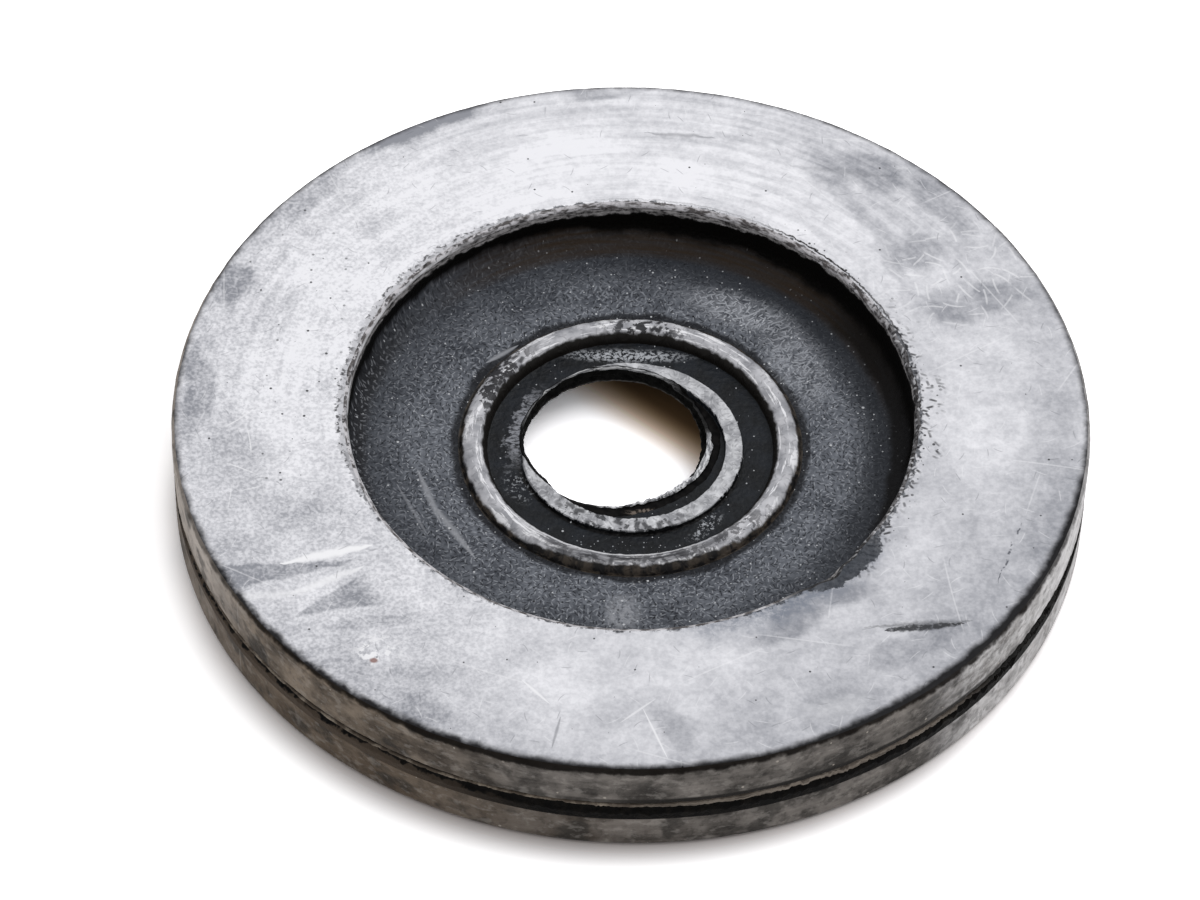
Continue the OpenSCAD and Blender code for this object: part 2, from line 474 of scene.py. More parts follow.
def groove_reach(turn):
    """Outer edge of the groove that the second pass of the knife left behind the burr."""
    room = collar_in_r - 0.12 - hole_brow_r(turn)
    least = burr_width(turn) + 0.02
    return np.clip(groove_width + 0.03 * uneven(turn, hole_r, 0.7, 7), least, np.maximum(room, least))


def web_top_z(r, turn):
    """Height of the ledge, collar and dish at radius r, with the burr along the hole."""
    inner_edge = collar_in_r + 0.02 * uneven(turn, collar_in_r, 0.7, 4)
    outer_edge = collar_out_r + 0.018 * uneven(turn, collar_out_r, 0.6, 5) - 0.25 * hump(turn, 178, 20)
    on_collar = smooth((r - inner_edge) / collar_edge + 0.5)
    past_collar = smooth((r - outer_edge) / (collar_edge + 0.4 * hump(turn, 175, 26)) + 0.5)
    level = ledge_z + (collar_z - ledge_z) * on_collar - (collar_z - dish_z) * past_collar
    worn = 0.03 * uneven(turn, r.mean(), 0.5, 6 + int(r.mean() * 3), 4) * on_collar * (1 - past_collar)
    out = r - hole_brow_r(turn)
    cut_side = smooth(hump(turn, -32, 62) * 1.6)
    on_burr = smooth((burr_width(turn) - out) / burr_edge + 0.5)
    on_burr = on_burr * (0.8 + 0.4 * uneven(turn, hole_r, 0.6, 8))
    in_groove = (1 - on_burr) * smooth((groove_reach(turn) - out) / groove_edge + 0.5)
    return level + worn + cut_side * (burr_height * on_burr - groove_depth * in_groove)


wall_steps = 9
for step in range(wall_steps):
    share = step / wall_steps

    def cut_r(turn, share=share):
        lean = float(smooth(np.array((share - 0.15) / 0.7)))
        tear = 0.06 * math.sin(math.pi * share) * uneven(turn, hole_r, 0.5, 30 + share * 3, 4)
        return hole_foot_r(turn) * (1 - lean) + hole_brow_r(turn) * lean + tear

    def cut_z(turn, share=share):
        brow = web_top_z(hole_brow_r(turn), turn)
        return under_web_z + (brow - under_web_z) * share

    lay(FINE, cut_r, cut_z, "brow" if step == wall_steps - 1 else "cut")

f = Finish("knife_cut")
torn = f.cloud(0.5, 27)
f.ground((2, 2, 2), (17, 17, 16), torn)
foot_line = f.times(f.ramp(f.z, 2.86, 2.76), f.cloud(0.8, 28, low=0.4, high=0.6, levels=(0.15, 0.8)))
f.paint((96, 94, 92), foot_line)
materials["cut"] = f.cure(rough=0.6, height=torn, depth=0.05, gloss=0.04)

f = Finish("worn_brow")
ragged = f.cloud(0.5, 29, 3, 0.65, 0.36, 0.5)
drawn = f.turned_cloud(0.9, 0.12, 39, 5, (0.0, 1.0), 0.36, 0.62)
pale_burr = f.blend((110, 111, 116), (236, 237, 240), drawn)
near = f.most(f.sector(-52, 58, 10), f.sector(112, 42, 15, 0.6))
f.ground((10, 10, 11), pale_burr, f.most(f.times(ragged, near), f.sector(-8, 22, 8, 0.8)))
materials["brow"] = f.cure(rough=0.4)

f = Finish("shaded_scored_groove")
# painted shade: the groove beside the burr is near black, for the shade that falls there
f.ground((4, 4, 5), (22, 21, 21), f.cloud(0.5, 19))
bits = f.loose(0.25, 0.7, 1)
smear = f.times(f.patch((0.9, -5.25), (2.2, 0.5), 6, 0.9, 0.4, bits), f.cloud(0.3, 67, 3, 0.6, 0.4, 0.55))
f.paint((122, 112, 104), smear)
materials["groove"] = f.cure(rough=0.6, gloss=0.05)

# The collar and the dished middle.
# A low flat-topped ring moulded as a guide for cutting. Its top is rubbed pale, and smeared outwards at
# the left. The dish round it has kept the mould's blue-black skin, with a little dust.

least_step = 0.006
# radii of the rows over the ledge, the collar and the dish
collar_stations = [6.16, 6.21, 6.25, 6.29, 6.34, 6.55, 6.8, 7.05, 7.18, 7.3, 7.35, 7.38, 7.42, 7.46, 7.52,
                   7.7, 7.9, 8.4, 8.9, 9.3]
# rows outwards from the hole's brow: over the burr, into the groove, out of it, and on to the stations
web_rows = []
all_round = np.arange(FINE) * 2 * math.pi / FINE
brow_now = hole_brow_r(all_round)
burr_now = burr_width(all_round)
groove_now = groove_reach(all_round)
for burr_share in (0.0, 0.15, 0.5, 0.8):
    web_rows.append(brow_now + burr_now * burr_share)
for past_burr in (0.0, 0.06, 0.12):
    web_rows.append(brow_now + np.minimum(burr_now + past_burr, groove_now - 0.01 + past_burr * 0.05))
for groove_end in (-0.05, 0.0, 0.05):
    web_rows.append(np.maximum(brow_now + groove_now + groove_end, web_rows[-1] + least_step))
web_skins = ["brow"] * 4 + ["groove"] * 5
for station in collar_stations:
    web_rows.append(np.maximum(station, web_rows[-1] + least_step))
for index, row_r in enumerate(web_rows):
    skin = web_skins[index] if index < len(web_skins) else "web"
    lay(FINE, lambda turn, row_r=row_r: row_r, lambda turn, row_r=row_r: web_top_z(row_r, turn), skin)

f = Finish("collar_and_dish")
haze = f.cloud(1.6, 22)
fine = f.cloud(0.3, 23, 3)
f.ground((6, 9, 13), (20, 25, 32), haze)
f.paint((60, 64, 70), fine, 0.1)
# a painted shadow along the collar's outer foot at the front
collar_foot_shadow = f.times(f.between(f.r, 7.38, 7.62, 0.1), f.sector(265, 80, 20))
f.paint((3, 3, 4), collar_foot_shadow)
bits = f.loose(0.25, 0.7, 1)
# dust on the dish, behind, before and beside the collar, and the smear at the left
arc_dust = f.times(f.patch((-0.3, 8.3), (7.0, 1.0), 0, 1.0, 0.5, bits),
                   f.cloud(0.24, 61, 3, 0.7, 0.45, 0.55))
smeared_r = f.total(f.r, f.cloud(0.6, 62, 4, 0.65, 0.2, 0.8, (-0.7, 0.7)))
smear = f.times(f.between(smeared_r, 7.2, 8.1, 0.4), f.sector(166, 20, 12))
smear = f.times(smear, f.cloud(0.4, 63, 3, 0.65, 0.4, 0.55, (0.2, 1.0), (1, 2.2, 1)))
near_dust = f.times(f.patch((-0.6, -8.3), (6.5, 0.9), 0, 0.8, 0.5, bits), f.specks(0.34, 0.13, 0.45, 64))
right_dust = f.times(f.patch((5.0, -6.6), (2.6, 1.0), 50, 0.9, 0.5, bits),
                     f.cloud(0.24, 65, 3, 0.7, 0.52, 0.6))
left_dust = f.times(f.patch((-7.3, -3.5), (2.6, 1.4), -60, 0.6, 0.5, bits),
                    f.cloud(0.24, 66, 3, 0.7, 0.54, 0.6))
dusty = f.most(arc_dust, near_dust, right_dust, left_dust)
f.paint((172, 175, 181), dusty)
f.paint((136, 138, 145), smear)
dots = f.most(f.specks(0.6, 0.11, 0.2, 5), f.specks(1.7, 0.17, 0.3, 7))
f.paint((205, 207, 212), dots, 0.8)
dark_skin = f.colour
# the collar's rubbed top, with its lines and dark flecks
f.ground((150, 151, 156), (214, 215, 219), f.cloud(0.9, 26))
lines = f.scratches(0.42, 0.5, 0.06, 0.95, 12, 0.8)
f.paint((236, 237, 241), lines, 0.35)
dark_lines = f.scratches(0.45, 0.55, 0.07, 0.95, 17, 0.8)
f.paint((84, 85, 90), dark_lines, 0.35)
near_front = f.sector(262, 34, 14)
fleck = f.most(f.cloud(0.5, 24, 3, 0.6, 0.54, 0.58),
               f.scratches(0.8, 0.9, 0.26, 0.7, 18, 0.1, math.radians(45), 1.2))
near_flecks = f.times(fleck, f.total(f.times(near_front, 0.72), 0.12))
f.paint((44, 45, 49), near_flecks)
f.paint((92, 94, 99), f.sector(158, 26, 14, 0.55))
ragged_r = f.total(f.r, f.cloud(0.45, 25, 4, 0.6, 0.3, 0.7, (-0.07, 0.07)))
on_top = f.times(f.between(ragged_r, 6.26, 7.4, 0.05), f.ramp(f.z, 3.78, 3.88))
f.ground(dark_skin, f.colour, on_top)
materials["web"] = f.cure(rough=0.42, height=fine, depth=0.03)

# The bead.
# A half-round ring moulded on the web, 20.7 mm across its crown. Its crown is rubbed pale and nicked,
# most of all at the front and the back left. Its flanks are dark, and a shallow moat lies outside it.

bead_crown_r = 10.35
bead_round_r = 0.95
bead_centre_z = 3.65
web_z = 4.2
moat_depth = 0.22
moat_end_r = 12.4
bead_steps = 13
bead_last_angle = math.radians(20)
for step in range(bead_steps):
    angle = math.pi + (bead_last_angle - math.pi) * step / (bead_steps - 1)

    def bead_r_at(turn, angle=angle, step=step):
        waver = 0.02 * uneven(turn, bead_crown_r, 0.8, 50 + step // 3)
        size = bead_round_r - 0.02 * math.sin(angle) + waver
        return bead_crown_r + size * math.cos(angle)

    def bead_z_at(turn, angle=angle, step=step):
        size = bead_round_r + 0.025 * uneven(turn, bead_crown_r, 0.8, 50 + step // 3)
        return np.maximum(bead_centre_z + size * math.sin(angle) - 0.02, dish_z)

    lay(FINE, bead_r_at, bead_z_at, "bead")

moat_floor_r = bead_crown_r + bead_round_r
for share in (0.04, 0.25, 0.5, 0.75, 1.0):
    moat_r = moat_floor_r + (moat_end_r - moat_floor_r) * share
    moat_z = web_z - moat_depth * (1 - share ** 2)
    lay(FINE, moat_r, lambda turn, level=moat_z: level + 0.01 * uneven(turn, 12, 1.5, 60), "well")

f = Finish("bead_skin")
edge_shake = f.cloud(0.8, 20, 3, 0.55, 0.25, 0.75, (-0.08, 0.08))
front = f.sector(272, 30, 14)
crown_out = f.total(f.r, f.total(edge_shake, f.times(front, 0.25)))
crown_mask = f.between(crown_out, 9.76, 11.0, 0.2)
# the crown: pale, with a painted highlight along its ridge, drawn lines, nicks, and painted shade on the
# front's outer half
f.ground((150, 151, 157), (206, 206, 211), f.cloud(1.3, 31, 3, 0.5))
# a painted highlight along the crown's ridge
crown_highlight = f.turned_cloud(2.4, 0.22, 33, 10.3, (0.0, 0.9), 0.54, 0.6)
f.paint((244, 244, 248), crown_highlight)
drawn = f.scratches(0.45, 0.5, 0.06, 0.95, 14, 0.8)
f.paint((78, 79, 84), drawn, 0.22)
nicked = f.most(f.cloud(0.7, 21, 4, 0.66, 0.51, 0.54),
                f.scratches(0.7, 0.8, 0.2, 0.5, 26, 0.2, math.radians(-50), 0.5))
more = f.most(f.sector(150, 16, 10), f.sector(85, 12, 8), f.times(front, 0.7), f.sector(310, 14, 10, 0.7))
nicked = f.times(nicked, f.total(f.times(more, 0.88), 0.06))
f.paint((26, 26, 30), nicked)
# painted shade on the crown's outer half at the front
front_crown_shade = f.times(f.times(front, f.between(f.r, 10.0, 10.7, 0.3)),
               f.turned_cloud(1.4, 0.2, 68, 10.3, (0.3, 1.0)))
f.paint((56, 56, 60), front_crown_shade)
# the flanks: painted shade, dark with a little brown dirt, and darkest on the inner flank
streaks = f.times(f.turned_cloud(0.7, 0.16, 69, 10.8, (0.0, 0.8), 0.42, 0.64), f.ramp(f.r, 10.4, 10.9))
shaded_flank = f.blend((18, 17, 18), (74, 66, 58), streaks)
shaded_flank = f.blend(shaded_flank, (14, 11, 8), f.ramp(f.r, 10.1, 9.8))
# a painted highlight along the crown's inner edge at the front
bead_edge_highlight = f.times(f.between(f.total(f.r, edge_shake), 9.72, 9.92, 0.12), f.sector(262, 34, 14, 0.9))
f.paint((224, 224, 228), bead_edge_highlight)
bright_bits = f.times(f.scratches(0.4, 0.45, 0.08, 0.9, 27, 0.6),
                      f.times(f.sector(282, 22, 10, 0.8), f.ramp(f.r, 10.5, 10.7)))
f.paint((240, 240, 243), bright_bits)
f.ground(shaded_flank, f.colour, crown_mask)
materials["bead"] = f.cure(rough=0.48, height=drawn, depth=0.02)

# The well.
# The flat part of the web and the filleted wall round it. Nothing rubs here, so it is dark slate with dust,
# a few scuffs and stray specks. Up the wall it turns brown, then black with painted shade, which also
# darkens the floor by the wall.

well_r = 18.5
well_fillet = 1.6
lip_round = 0.3
# the top lies a hair below the solid's own, so that no relief stands out of its box
ring_top_z = ring_t - 0.01
RIM_FINE = 1080
for floor_r in (13.2, 14.2, 15.2, 16.1, 16.9):
    lay(FINE, floor_r, lambda turn, at=floor_r: web_z + 0.02 * uneven(turn, at, 4, 70), "well")
fillet_steps = 8


def quarter(start, steps, way=-1):
    """Steps of a quarter circle from the angle start, each with its angle. way is -1 for clockwise."""
    return [(step, start + way * (math.pi / 2) * step / steps) for step in range(steps + 1)]


for step, angle in quarter(-math.pi / 2, fillet_steps, way=1)[1:]:
    fillet_row_r = well_r - well_fillet + well_fillet * math.cos(angle)
    fillet_row_z = web_z + well_fillet + well_fillet * math.sin(angle)
    lay(FINE, fillet_row_r, fillet_row_z, "well")

# bites worn out of the lip: angle, half-width in degrees, depth in millimetres
lip_bites = [(-47, 3.0, 0.5), (-41, 2.0, 0.2), (-52, 1.6, 0.16), (-3, 2.0, 0.12), (3, 1.6, 0.2),
             (8, 2.2, 0.16), (17, 2.0, 0.14), (24, 1.5, 0.12), (41, 2.0, 0.1), (66, 3.0, 0.08),
             (92, 2.0, 0.05), (150, 2.4, 0.08), (171, 2.0, 0.1), (184, 1.8, 0.1), (-150, 2.4, 0.05),
             (-100, 2.2, 0.04)]


def lip_wear(turn):
    """How far the lip is worn back round the well."""
    return 0.01 * uneven(turn, well_r, 1.1, 80, 3) + humps(turn, lip_bites)


# rows up the wall: height, and the share of the lip's wear that reaches them
for wall_z, wear in ((6.3, 0.0), (6.8, 0.15), (7.15, 0.5)):
    lay(RIM_FINE, lambda turn, wear=wear: well_r + wear * lip_wear(turn), wall_z, "well")
lip_steps = 5
for step, angle in quarter(math.pi, lip_steps):

    def lip_r_at(turn, angle=angle):
        return well_r + lip_round + lip_round * math.cos(angle) + lip_wear(turn)

    def lip_z_at(turn, angle=angle):
        drop = np.clip(lip_wear(turn), 0, 1) * 0.35 * (1 - math.sin(angle))
        return ring_top_z - lip_round + lip_round * math.sin(angle) - drop

    lay(RIM_FINE, lip_r_at, lip_z_at, "face" if step == lip_steps else "lip")

f = Finish("well_skin")
dusty = f.cloud(2.4, 12, 5, 0.6)
grain = f.cloud(0.28, 13, 3, 0.6, 0.35, 0.65)
drawn = f.turned_cloud(2.2, 0.2, 14, 15)
level = f.total(f.times(dusty, 0.42), f.times(grain, 0.38), f.times(drawn, 0.2))
f.ground((52, 55, 62), (122, 126, 134), level)
ticks = f.scratches(0.38, 0.42, 0.055, 0.95, 21, 1.2)
f.paint((166, 169, 176), ticks, 0.6)
holes = f.scratches(0.4, 0.4, 0.06, 0.95, 25, 1.2)
f.paint((22, 24, 28), holes, 0.75)
ragged = f.loose(0.5, 1.6, 3)
# painted shade: darker towards the wall, most at the back and right, and on the fillet at the left; the
# moat is darker too
shade = f.most(f.times(f.sector(28, 62, 34), f.ramp(f.r, 14.2, 16.6)),
               f.times(f.sector(-40, 22, 12), f.ramp(f.r, 15.3, 16.5, 0, 0.5)))
f.paint((30, 32, 36), shade, 0.75)
f.paint((52, 55, 61), f.ramp(f.r, 14.0, 17.2, 0, 0.45))
f.paint((44, 47, 53), f.times(f.sector(85, 48, 24, 0.4), f.ramp(f.r, 11.8, 14.0)))
left_shade = f.times(f.sector(192, 44, 16), f.ramp(f.total(f.r, f.times(dusty, 0.4)), 17.1, 18.0))
f.paint((26, 26, 28), left_shade, 0.8)
left_ticks = f.times(f.scratches(0.36, 0.34, 0.07, 0.9, 80, 0.6),
                     f.times(f.sector(188, 34, 16), f.ramp(f.r, 17.0, 17.8)))
f.paint((160, 162, 168), left_ticks, 0.38)
moat = f.between(f.total(f.r, f.times(dusty, 0.3)), 11.0, 11.95, 0.4)
f.paint((27, 28, 31), moat, 0.85)
# scuffs at the back right, ticks at the back, and streaks at the left and front
hatch = f.scratches(0.55, 0.95, 0.09, 0.95, 22, 0.4, math.radians(-30), 0.7)
hatch = f.most(hatch, f.scratches(0.38, 0.5, 0.07, 0.95, 24, 1.0))
scuffed = f.most(f.patch((7.2, 12.0), (7.0, 2.6), -24, 0.85, 0.5, ragged),
                 f.patch((10.9, 7.8), (3.2, 8.0), 22, 0.65, 0.5, ragged))
hatch = f.times(hatch, scuffed)
haze = f.times(scuffed, f.cloud(0.8, 41, 3, 0.6, levels=(0.0, 0.5)))
f.paint((172, 175, 182), f.most(hatch, haze))
back_ticks = f.scratches(0.5, 0.75, 0.09, 0.8, 23, 0.5, math.radians(78), 0.9)
back_ticks = f.times(back_ticks, f.patch((-1.9, 13.5), (8.4, 1.9), 2, 0.55, 0.5, ragged))
f.paint((146, 150, 158), back_ticks)
near_scuff = f.times(f.patch((-0.3, -14.5), (2.2, 2.6), 0, 0.8, 0.5, ragged),
                     f.cloud(0.35, 42, 4, 0.65, 0.3, 0.6))
streaks = f.most(f.stroke((-13.9, -2.7), (-12.2, -7.3), 0.22, 0.7),
                 f.stroke((-13.0, -5.4), (-9.9, -10.2), 0.24, 0.75),
                 f.stroke((-9.7, 7.0), (-7.6, 8.7), 0.16, 0.8),
                 f.stroke((-15.2, -4.0), (-13.0, -8.4), 0.12, 0.4))
f.paint((158, 160, 166), f.most(near_scuff, streaks))
# crumbs, dust and pores
crumbs = f.times(f.patch((1.9, -11.8), (3.4, 0.7), 4, 1.0, 0.3, ragged), f.specks(0.3, 0.17, 0.55, 43))
f.paint((205, 206, 210), crumbs)
dust = f.most(f.specks(0.55, 0.12, 0.22, 3), f.specks(1.9, 0.19, 0.3, 4))
f.paint((208, 210, 214), dust, 0.8)
pores = f.specks(0.6, 0.16, 0.3, 6)
f.paint((16, 18, 20), pores, 0.75)
# up the wall: brown, then black of painted shade, and a mottled edge under the lip
brown = f.times(f.ramp(f.r, 16.6, 17.5), f.sector(72, 52, 22))
f.paint((52, 42, 33), f.times(brown, f.turned_cloud(4.0, 0.3, 47, 18, (0.5, 1.0))))
# painted shade: black up the wall, beginning higher at the left
rise = f.total(f.z, f.cloud(3.0, 44, 3, levels=(-0.25, 0.25)), f.sector(160, 60, 20, -0.7))
black = f.ramp(rise, 4.6, 5.3)
# painted shade on the fillet at the right
right_fillet_shade = f.times(f.sector(6, 34, 12), f.ramp(f.total(f.r, f.times(dusty, 0.4)), 17.0, 17.6))
f.paint((14, 12, 11), right_fillet_shade, 0.85)
f.paint((5, 4, 3), black)
lip_level = f.total(f.z, f.cloud(0.9, 15, 4, 0.6, 0.3, 0.7, (-0.16, 0.16)), f.sector(0, 60, 20, -0.3))
mottle = f.turned_cloud(0.9, 0.2, 16, 18.5, (0.0, 1.0), 0.4, 0.6)
mottle = f.blend((34, 32, 32), (178, 175, 176), f.total(f.times(mottle, 0.65), f.times(grain, 0.35)))
f.paint(mottle, f.ramp(lip_level, 6.66, 6.86))
materials["well"] = f.cure(rough=0.55, height=grain, depth=0.03, gloss=0.08)

f = Finish("worn_lip")
patchy = f.turned_cloud(0.9, 0.4, 11, 18.6, (0.0, 1.0), 0.4, 0.58)
worn = f.blend((84, 80, 80), (200, 198, 202), patchy)
flecked = f.times(f.cloud(0.4, 10, 2, 0.6, 0.54, 0.58),
                  f.total(f.sector(160, 45, 14, 0.6), f.sector(5, 40, 14, 0.6), 0.2))
worn = f.blend(worn, (30, 29, 31), flecked)
# a painted highlight along the rim's inner edge at the left and front
rim_highlight = f.times(f.ramp(f.r, 18.62, 18.52), f.sector(230, 100, 20))
worn = f.blend(worn, (222, 222, 226), f.times(rim_highlight, 0.7))
bitten = f.most(f.sector(-46, 11, 5, 0.95), f.sector(2, 22, 10, 0.8), f.sector(-22, 10, 5, 0.7))
f.ground(worn, (22, 21, 22), bitten)
ticks = f.times(f.scratches(0.5, 0.55, 0.1, 0.95, 81, 0.4), f.sector(-6, 34, 10, 0.8))
f.paint((196, 196, 200), ticks)
materials["lip"] = f.cure(rough=0.5)

# The ring's top face.
# The face that the grommet has been rubbed on: polished pale silver grey, with a painted sheen brightest
# round the lip at the back left, clouded with smudges, scratched and pitted. The outer corner has worn
# through to black.

ring_r = 30.0
corner_round = 0.4
face_relief = 0.012
face_z = ring_top_z - face_relief
for face_r in (19.6, 21.5, 24.5, 27.5, 29.0):
    lay(RIM_FINE, face_r, lambda turn, at=face_r: face_z + face_relief * uneven(turn, at, 6, 90), "face")
corner_steps = 6
for step, angle in quarter(math.pi / 2, corner_steps):

    def corner_r_at(turn, angle=angle):
        worn = 0.015 * uneven(turn, ring_r, 1.2, 95) - 0.015
        return ring_r - corner_round + corner_round * math.cos(angle) + worn

    corner_z = face_z - corner_round + corner_round * math.sin(angle)
    lay(RIM_FINE, corner_r_at, corner_z, "face" if step < 2 else "wall")


def rubbed_face(name):
    """The polished face's ground: broad clouds over a fine grain.
    Gives the finish, its level, its fine grain, and a plan position that makes ragged edges."""
    finish = Finish(name)
    ragged = finish.loose(1.6, 3.5, 2)
    broad = finish.cloud(9, 1, 2, levels=(-0.07, 0.07))
    middle = finish.cloud(2.4, 2, 4, 0.62, levels=(-0.12, 0.12))
    fine = finish.cloud(0.4, 3, 2, 0.6, levels=(-0.09, 0.09))
    wiped = finish.cloud(5.0, 4, 3, 0.6, 0.3, 0.7, (-0.05, 0.05), (0.4, 2.6, 1))
    outward = finish.ramp(finish.r, 22, 30.5, 0.0, -0.24)
    return finish, finish.total(broad, middle, fine, wiped, outward, 0.75), fine, ragged


f, level, fine, ragged = rubbed_face("rubbed_face")
# the painted sheen: brightest towards the back left, duller at the front left, front right and back right
light_side = (math.cos(math.radians(128)), math.sin(math.radians(128)), 0.0)
swept = f.times(f.turned_cloud(9.0, 0.55, 58, 24, (-0.14, 0.14)), f.sector(110, 75, 30))
level = f.total(level, f.times(f.vector("DOT_PRODUCT", f.way, light_side), 0.13), swept)
level = f.total(level,
                f.sector(228, 28, 14, -0.1),
                f.sector(318, 26, 14, -0.13),
                f.sector(40, 28, 14, -0.08))
level = f.total(level,
                f.sector(272, 26, 14, 0.05),
                f.patch((18.3, -12.0), (2.6, 5.0), -30, 0.16, 0.8, ragged))
level = f.total(level, f.patch((-3, 21.5), (30, 5), 2, 0.1, 0.6, ragged))
crisp = f.cloud(0.24, 15, 2, 0.6, 0.36, 0.64, (-0.5, 0.5))
level = f.total(level, f.times(crisp, f.total(f.sector(185, 60, 24, 0.26), 0.05)))
# smudges: middle, size, lean in degrees, and strength
smudges = [((-14.4, 25.8), (8.0, 2.4), 28, 0.62), ((-22.3, 18.2), (11.0, 1.5), 52, 0.22),
           ((-26.6, 11.0), (3.2, 2.4), 65, 0.42), ((-28.4, 1.6), (1.8, 9.0), 0, 0.3),
           ((-25.6, -5.0), (4.0, 9.0), 0, 0.12), ((-5.8, -20.8), (4.5, 1.8), 8, 0.12),
           ((2.8, -26.8), (2.0, 3.4), 10, 0.14), ((12.4, -24.8), (3.6, 2.4), 30, 0.14),
           ((-12.9, -25.6), (3.6, 2.2), -20, 0.18), ((11.2, -16.9), (8.5, 2.4), 32, 0.32),
           ((18.1, -19.6), (6.0, 2.2), 30, 0.2), ((27.6, -2.5), (2.6, 12.0), 0, 0.12),
           ((16.0, 22.2), (4.5, 2.6), -35, 0.3), ((20.8, 20.0), (4.0, 2.8), -45, 0.2),
           ((22.4, 17.2), (3.0, 2.0), -50, 0.2), ((22.3, 10.1), (6.5, 2.8), 8, 0.32),
           ((18.7, 14.6), (3.2, 2.6), 0, 0.24), ((19.8, 22.2), (4.0, 1.2), -48, 0.08),
           ((21.6, 15.0), (3.6, 3.0), 0, 0.12), ((13.6, 21.2), (9.0, 1.4), -58, 0.2),
           ((17.0, 14.2), (7.5, 1.2), -72, 0.18), ((4.5, 24.8), (8.0, 1.2), -3, 0.14),
           ((-2.8, 28.8), (5.5, 1.2), 0, 0.3)]
for centre, size, lean, strength in smudges:
    level = f.total(level, f.patch(centre, size, lean, -1.25 * strength, 0.45, ragged))
wipe = f.loose(0.3, 1.4, 8)


def wedge(finish, tip, end, width, where):
    """Mask of a smear that opens out from its tip to width at its end."""
    run = Vector(end) - Vector(tip)
    away = finish.vector("SUBTRACT", where, (tip[0], tip[1], 0.0))
    squared = run.length_squared
    along = finish.vector("DOT_PRODUCT", away, (run.x / squared, run.y / squared, 0.0))
    across = finish.vector("DOT_PRODUCT", away, (-run.y / run.length, run.x / run.length, 0.0))
    past_edge = finish.total(finish.maths("ABSOLUTE", across), finish.times(along, -width / 2))
    return finish.times(finish.ramp(past_edge, 0.15, -0.15), finish.ramp(along, 1.1, 0.8))


# wiped smears at the front left
smears = f.most(f.times(wedge(f, (-17.2, -13.4), (-26.2, -15.2), 2.3, wipe), 0.44),
                f.times(wedge(f, (-21.0, -18.1), (-16.2, -15.7), 2.8, wipe), 0.46))
smears = f.most(smears,
                f.patch((-21.5, -9.2), (4.5, 3.4), 0, 0.2, 0.6, ragged),
                f.patch((-16.4, -18.6), (5.0, 1.0), 10, 0.16, 0.3, wipe))
level = f.total(level, f.times(smears, -1.0))
f.ground((146, 148, 156), (246, 246, 251), level)
# bright marks: painted glints on the wide strokes at the front left and the patch at the front right, thin
# strokes, scratches, swirls and flakes
bare = f.loose(0.25, 0.9, 5)
glints_and_bright_marks = f.most(f.stroke((-22.2, -13.8), (-16.4, -12.1), 0.34, 1.0, 0.7, bare),
                f.stroke((-21.4, -16.3), (-16.8, -13.9), 0.34, 0.7, 0.8, bare))
glints_and_bright_marks = f.most(glints_and_bright_marks,
                f.stroke((-25.4, -16.7), (-20.6, -16.2), 0.4, 0.5, 1.0, bare),
                f.stroke((-6.6, -22.9), (-4.8, -24.8), 0.1, 0.8))
glints_and_bright_marks = f.most(glints_and_bright_marks,
                f.stroke((1.0, -25.0), (2.6, -29.0), 0.07, 0.7),
                f.stroke((-0.4, -26.2), (1.8, -24.2), 0.08, 0.5))
glints_and_bright_marks = f.most(glints_and_bright_marks,
                f.patch((13.2, -24.6), (3.4, 1.8), 20, 0.3, 0.9, bare),
                f.stroke((26.6, -4.6), (25.4, -8.6), 0.06, 0.25))
# short and long scratches: cell, length, width, share, seed, bend, and strength
for *kind, strength in [(1.8, 1.3, 0.05, 0.7, 3, 0.3, 0.3), (8.0, 8.0, 0.08, 0.7, 4, 0.01, 0.3)]:
    glints_and_bright_marks = f.most(glints_and_bright_marks, f.times(f.scratches(*kind), strength))
swirls = f.times(f.scratches(1.3, 2.2, 0.1, 0.95, 71, 0.3),
                 f.patch((21.8, 12.6), (11.0, 9.0), 0, 0.42, 0.5, ragged))
glints_and_bright_marks = f.most(glints_and_bright_marks, swirls,
                f.times(f.scratches(2.2, 3.0, 0.07, 0.9, 73, 0.1),
                        f.patch((-25.5, -3.0), (4.0, 14.0), 0, 0.6, 0.5, ragged)))
flakes = f.times(f.patch((-15.6, -20.9), (3.0, 2.6), 0, 1.0, 0.5, ragged),
                 f.cloud(0.5, 83, 2, 0.6, 0.5, 0.58))
glints_and_bright_marks = f.most(glints_and_bright_marks, f.times(flakes, 0.9))
f.paint((250, 250, 253), glints_and_bright_marks)
# dark marks: scores, the fringe of the torn lip, the gash, flecks and pits, and a chip of reddish dirt
scores = f.times(f.scratches(1.9, 0.9, 0.05, 0.5, 9, 0.5), 0.35)
scores = f.most(scores,
                f.times(f.stroke((25.1, -9.0), (23.5, -14.2), 0.08, 1.0, 0.8, bare),
                        f.cloud(0.5, 74, 2, 0.6, 0.4, 0.52)),
                f.stroke((-4.1, -25.8), (-4.6, -28.3), 0.1, 0.5))
scores = f.most(scores,
                f.stroke((0.6, 25.3), (5.5, 25.0), 0.2, 0.5, 1.0, bare),
                f.stroke((10.5, 22.5), (17.8, 21.6), 0.3, 0.25, 1.0, bare))
f.paint((98, 100, 108), scores)
fringe_r = f.ramp(f.total(f.r, f.cloud(1.2, 56, 3, levels=(-0.5, 0.5))), 21.2, 18.8)
fringe = f.times(f.times(fringe_r, f.sector(-56, 18, 11)),
                 f.cloud(0.35, 60, 3, 0.7, 0.35, 0.6, (0.5, 0.95)))
f.paint((122, 128, 141), fringe)
jagged = f.loose(0.22, 0.32, 6)
